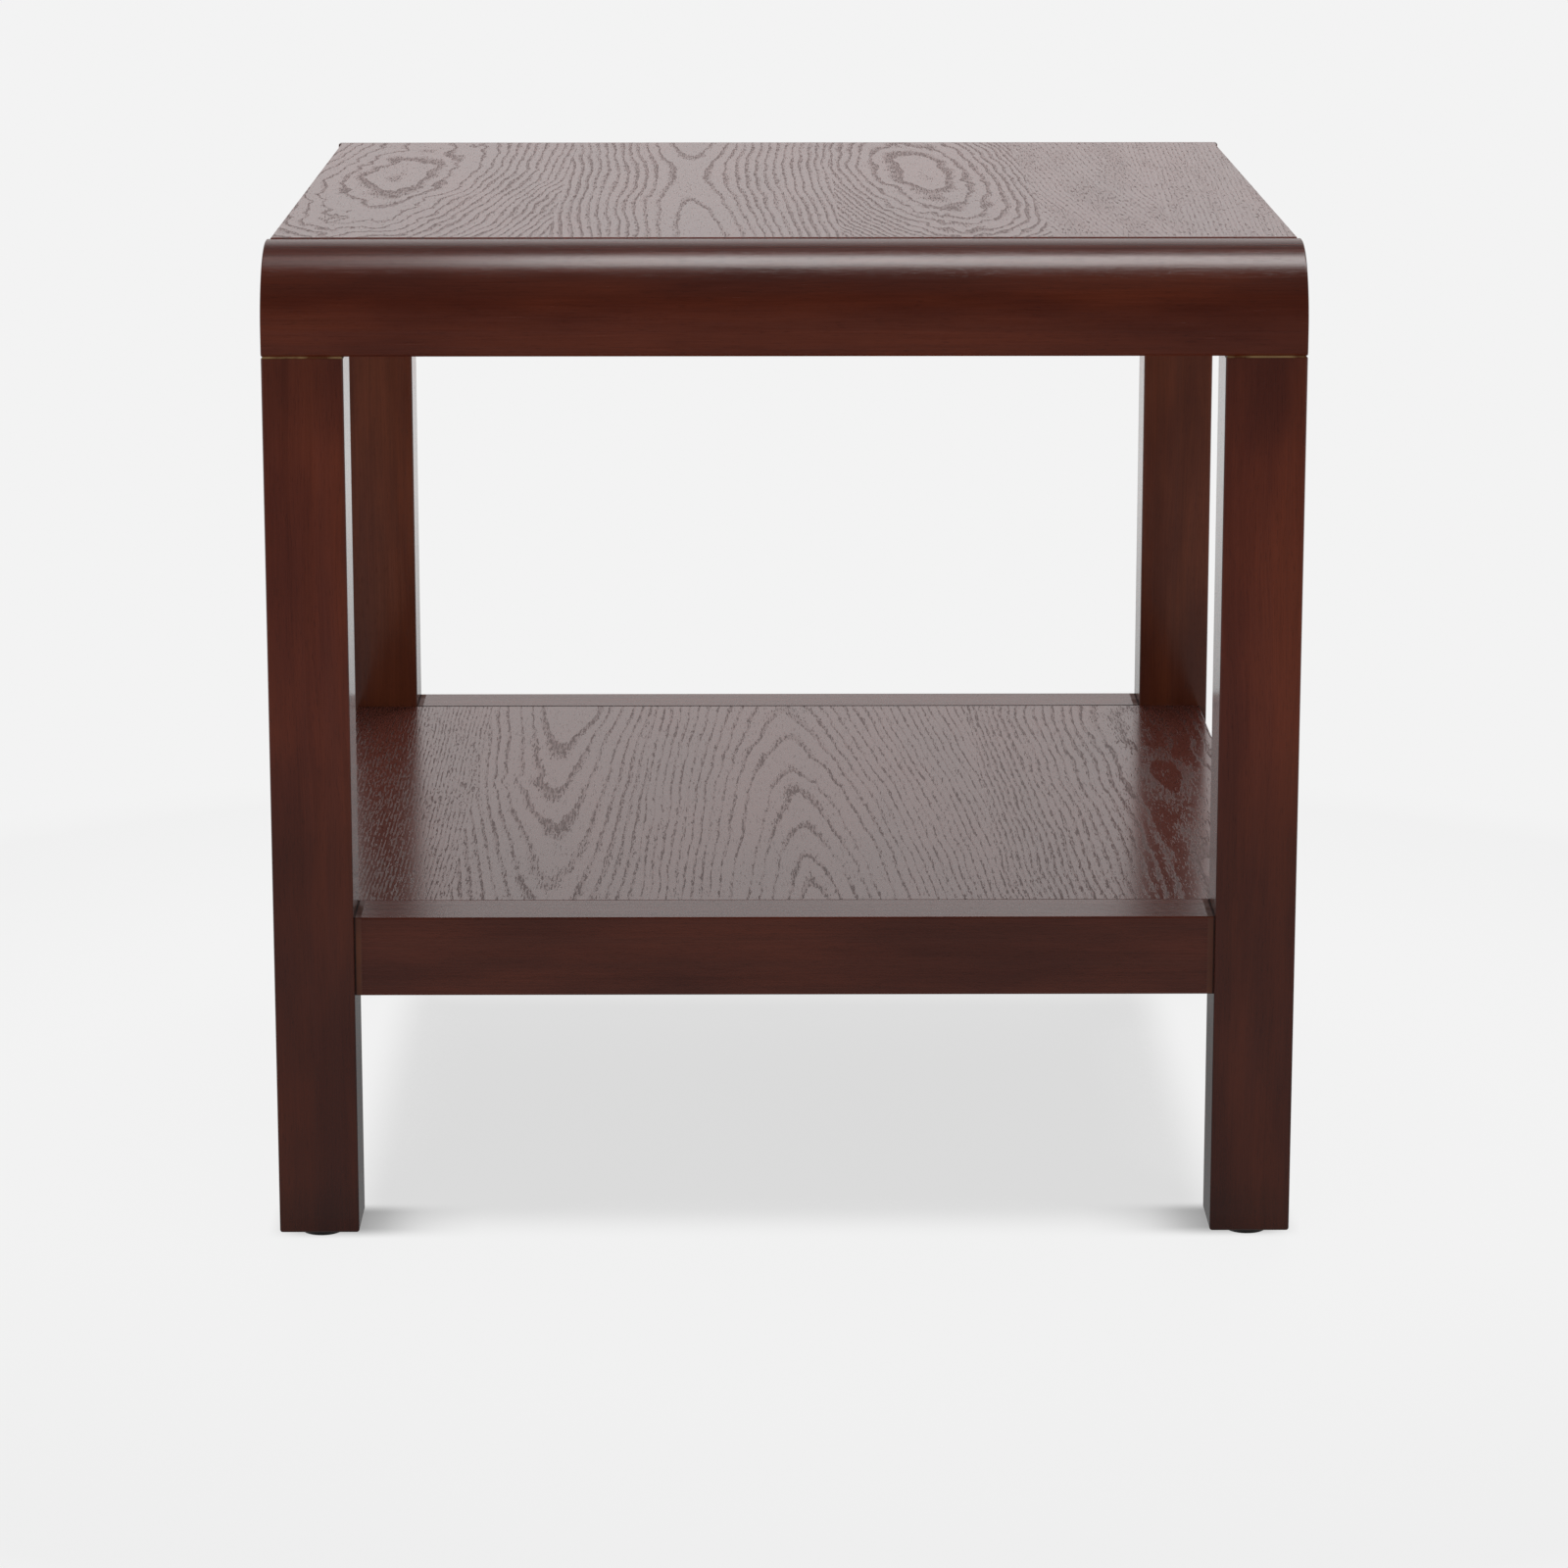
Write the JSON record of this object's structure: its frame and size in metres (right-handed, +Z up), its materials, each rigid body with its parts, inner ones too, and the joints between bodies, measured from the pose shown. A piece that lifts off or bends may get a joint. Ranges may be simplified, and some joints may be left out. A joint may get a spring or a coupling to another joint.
{
  "type": "end table",
  "caption": "Square-legged end table in stained wood with a rounded front and back edge to its veneered top and a veneered lower shelf.",
  "frame": {"origin": "on the floor, under the middle of the table", "axes": "+Z up; -Y is the front; +X to the right as seen from the front"},
  "size_m": [0.56, 0.61, 0.552],
  "materials": {
    "leg_wood": "stained, gloss lacquer",
    "top_rail_wood": "stained, gloss lacquer",
    "shelf_rail_wood": "stained, gloss lacquer",
    "side_member_wood": "stained, gloss lacquer",
    "lipping_wood": "stained, gloss lacquer",
    "top_veneer": "open-pored veneer, gloss lacquer",
    "shelf_veneer": "open-pored veneer, gloss lacquer",
    "board_core": "stained board",
    "block_wood": "planed, unfinished",
    "dowel_wood": "unfinished",
    "screw_steel": "yellow zinc",
    "nail_steel": "bright",
    "glide_plastic": "moulded black"
  },
  "bodies": {
    "root": {"leg_front_left": "leg_wood", "leg_front_right": "leg_wood", "leg_back_left": "leg_wood", "leg_back_right": "leg_wood", "top_rail_front": "top_rail_wood", "top_rail_back": "top_rail_wood", "top_panel_core": "board_core", "top_panel_veneer": "top_veneer", "top_lipping_left": "lipping_wood", "top_lipping_right": "lipping_wood", "apron_left": "side_member_wood", "apron_right": "side_member_wood", "corner_block_front_left": "block_wood", "corner_block_front_right": "block_wood", "corner_block_back_left": "block_wood", "corner_block_back_right": "block_wood", "shelf_rail_front": "shelf_rail_wood", "shelf_rail_back": "shelf_rail_wood", "shelf_panel_core": "board_core", "shelf_panel_veneer": "shelf_veneer", "shelf_lipping_left": "lipping_wood", "shelf_lipping_right": "lipping_wood", "shelf_bearer_left": "side_member_wood", "shelf_bearer_right": "side_member_wood", "leg_dowels": "dowel_wood", "top_panel_dowels": "dowel_wood", "apron_dowels": "dowel_wood", "shelf_rail_dowels": "dowel_wood", "shelf_bearer_dowels": "dowel_wood", "shelf_panel_dowels": "dowel_wood", "top_panel_screws": "screw_steel", "corner_block_screws": "screw_steel", "shelf_panel_screws": "screw_steel", "glide_front_left": "glide_plastic", "glide_front_right": "glide_plastic", "glide_back_left": "glide_plastic", "glide_back_right": "glide_plastic", "glide_nails": "nail_steel"}
  },
  "joints": []
}
